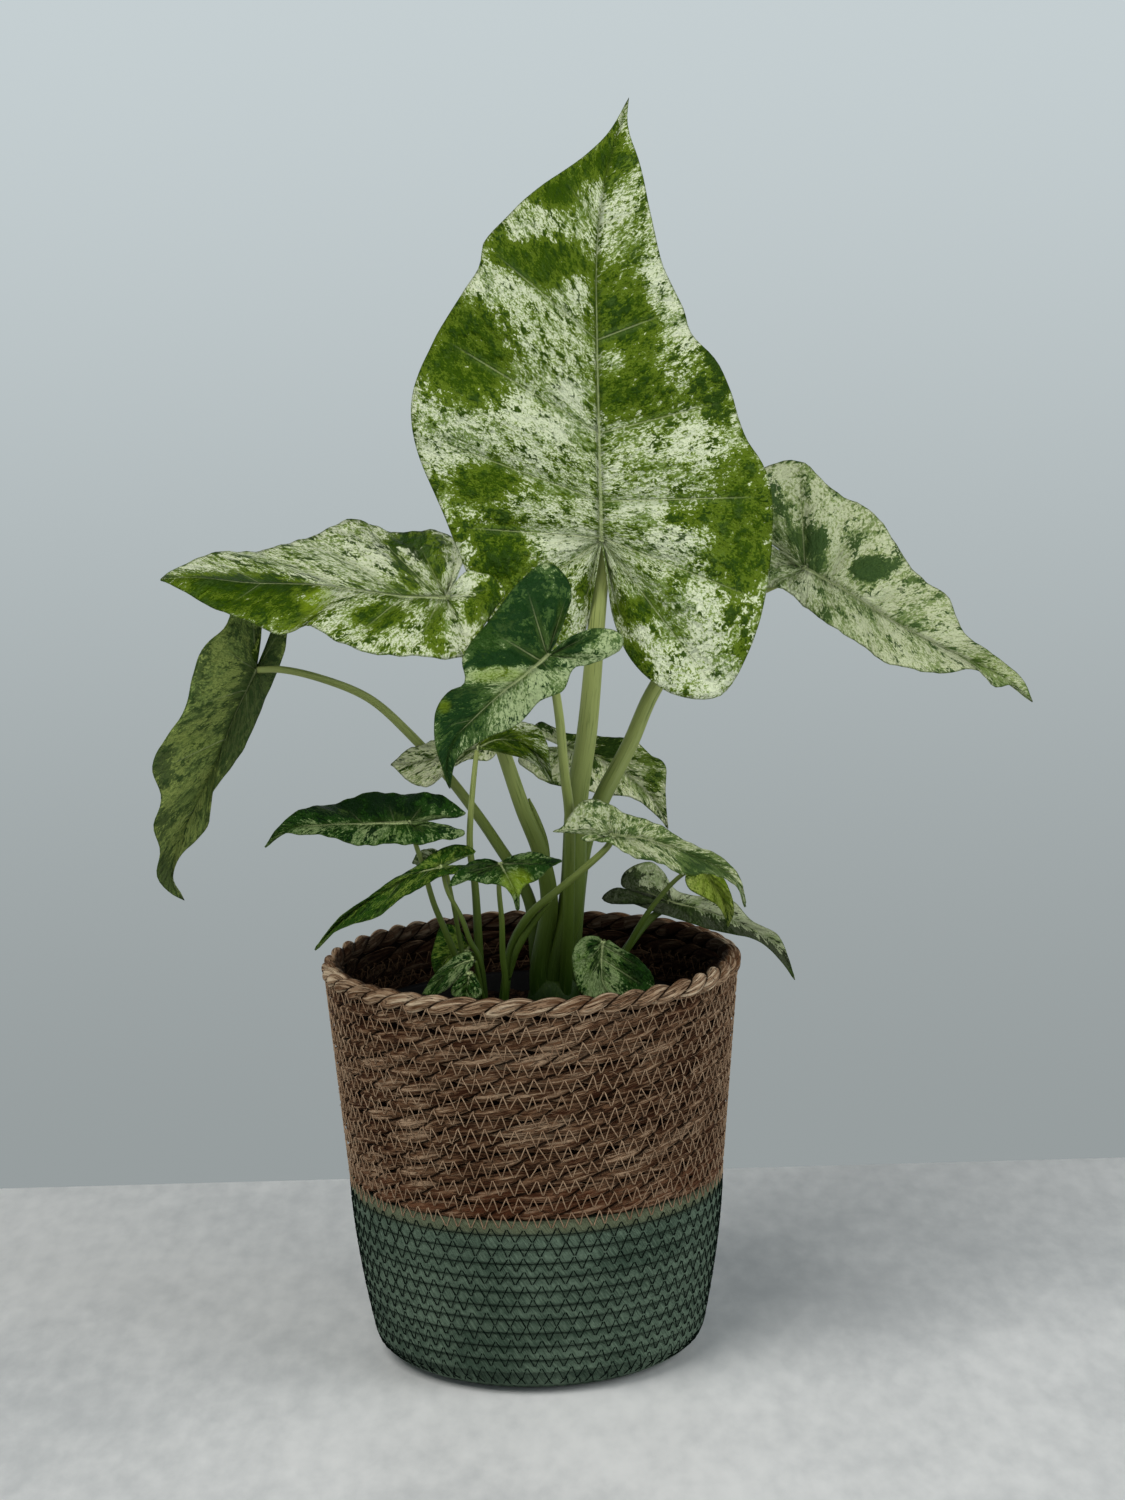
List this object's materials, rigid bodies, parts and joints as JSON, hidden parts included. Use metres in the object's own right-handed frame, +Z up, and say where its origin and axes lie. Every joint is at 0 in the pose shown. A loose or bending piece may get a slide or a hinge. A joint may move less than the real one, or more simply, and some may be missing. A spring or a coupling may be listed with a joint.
{
  "type": "potted giant taro",
  "caption": "House plant with large arrow-shaped speckled leaves on long stalks, in a nursery pot of soil inside a two-tone coiled rope basket.",
  "frame": {"origin": "centre of the basket's flat underside, on the floor", "axes": "+Z up, +X to the viewer's right in the picture, +Y away from the viewer"},
  "size_m": [0.4431, 0.2112, 0.6242],
  "materials": {
    "leaf_cream": "satin",
    "leaf_pale": "satin",
    "leaf_green": "satin",
    "leaf_dark": "satin",
    "stalk": "satin",
    "soil": "matte",
    "black_plastic": "matte",
    "green_rope": "matte",
    "natural_rope": "matte",
    "rim_rope": "matte"
  },
  "bodies": {
    "root": {"blade_main_upright": "leaf_cream", "blade_left_level": "leaf_cream", "blade_front_dark": "leaf_dark", "blade_right_drooping": "leaf_cream", "blade_back_pale": "leaf_cream", "blade_low_right": "leaf_pale", "blade_left_hanging": "leaf_pale", "blade_centre_green": "leaf_green", "blade_right_small": "leaf_green", "blade_right_over_rim": "leaf_pale", "blade_in_pot_right": "leaf_pale", "blade_in_pot_left_yellow": "leaf_green", "blade_in_pot_left_striped": "leaf_dark", "blade_in_pot_left_pale": "leaf_pale", "blade_low_left_dark": "leaf_dark", "blade_low_left_narrow": "leaf_green", "blade_low_front": "leaf_green", "blade_behind_narrow": "leaf_cream", "blade_left_pale": "leaf_cream", "main_stalks": "stalk", "front_stalks": "stalk", "right_stalks": "stalk", "soil": "soil", "nursery_pot": "black_plastic", "basket_green_band": "green_rope", "basket_natural_band": "natural_rope", "basket_rim_rope": "rim_rope"}
  },
  "joints": []
}
